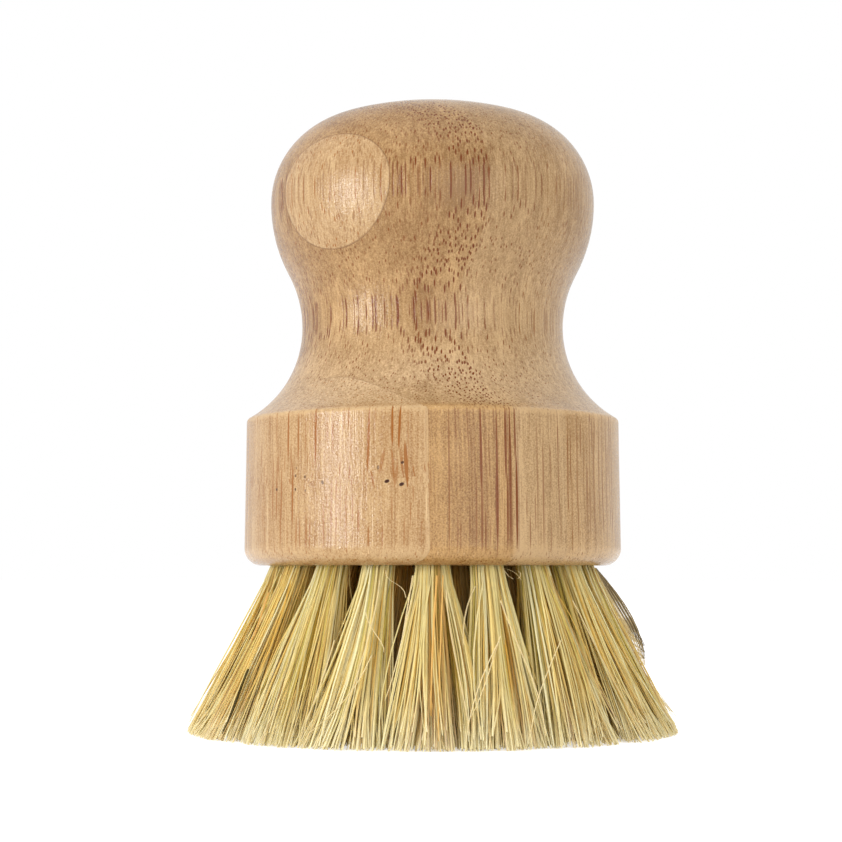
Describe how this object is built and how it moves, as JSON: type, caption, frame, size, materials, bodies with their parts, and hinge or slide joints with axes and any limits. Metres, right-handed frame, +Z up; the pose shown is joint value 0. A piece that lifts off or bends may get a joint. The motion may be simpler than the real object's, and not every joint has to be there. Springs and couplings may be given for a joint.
{
  "type": "palm brush",
  "caption": "Round palm brush: a knob turned from laminated bamboo boards, with flared plant-fibre tufts set in its flat underside.",
  "frame": {"origin": "centre of the plane that the bristle tips are trimmed to, under the knob's axis", "axes": "+Z up along the turned block's axis towards the knob's crown; +Y square to the boards' glue joints, with the front board at -Y"},
  "size_m": [0.069, 0.0694, 0.0886],
  "materials": {
    "bamboo": "satin",
    "plant_fibre": "matte",
    "anchor_steel": "satin"
  },
  "bodies": {
    "root": {"front_board_base_piece": "bamboo", "front_board_knob_piece": "bamboo", "middle_board_front": "bamboo", "middle_board_back": "bamboo", "back_board": "bamboo", "tuft_centre": "plant_fibre", "tuft_inner_01": "plant_fibre", "tuft_inner_02": "plant_fibre", "tuft_inner_03": "plant_fibre", "tuft_inner_04": "plant_fibre", "tuft_inner_05": "plant_fibre", "tuft_inner_06": "plant_fibre", "tuft_middle_01": "plant_fibre", "tuft_middle_02": "plant_fibre", "tuft_middle_03": "plant_fibre", "tuft_middle_04": "plant_fibre", "tuft_middle_05": "plant_fibre", "tuft_middle_06": "plant_fibre", "tuft_middle_07": "plant_fibre", "tuft_middle_08": "plant_fibre", "tuft_middle_09": "plant_fibre", "tuft_middle_10": "plant_fibre", "tuft_middle_11": "plant_fibre", "tuft_middle_12": "plant_fibre", "tuft_outer_01": "plant_fibre", "tuft_outer_02": "plant_fibre", "tuft_outer_03": "plant_fibre", "tuft_outer_04": "plant_fibre", "tuft_outer_05": "plant_fibre", "tuft_outer_06": "plant_fibre", "tuft_outer_07": "plant_fibre", "tuft_outer_08": "plant_fibre", "tuft_outer_09": "plant_fibre", "tuft_outer_10": "plant_fibre", "tuft_outer_11": "plant_fibre", "tuft_outer_12": "plant_fibre", "tuft_outer_13": "plant_fibre", "tuft_outer_14": "plant_fibre", "tuft_outer_15": "plant_fibre", "tuft_outer_16": "plant_fibre", "tuft_outer_17": "plant_fibre", "tuft_outer_18": "plant_fibre", "tuft_anchors": "anchor_steel"}
  },
  "joints": []
}
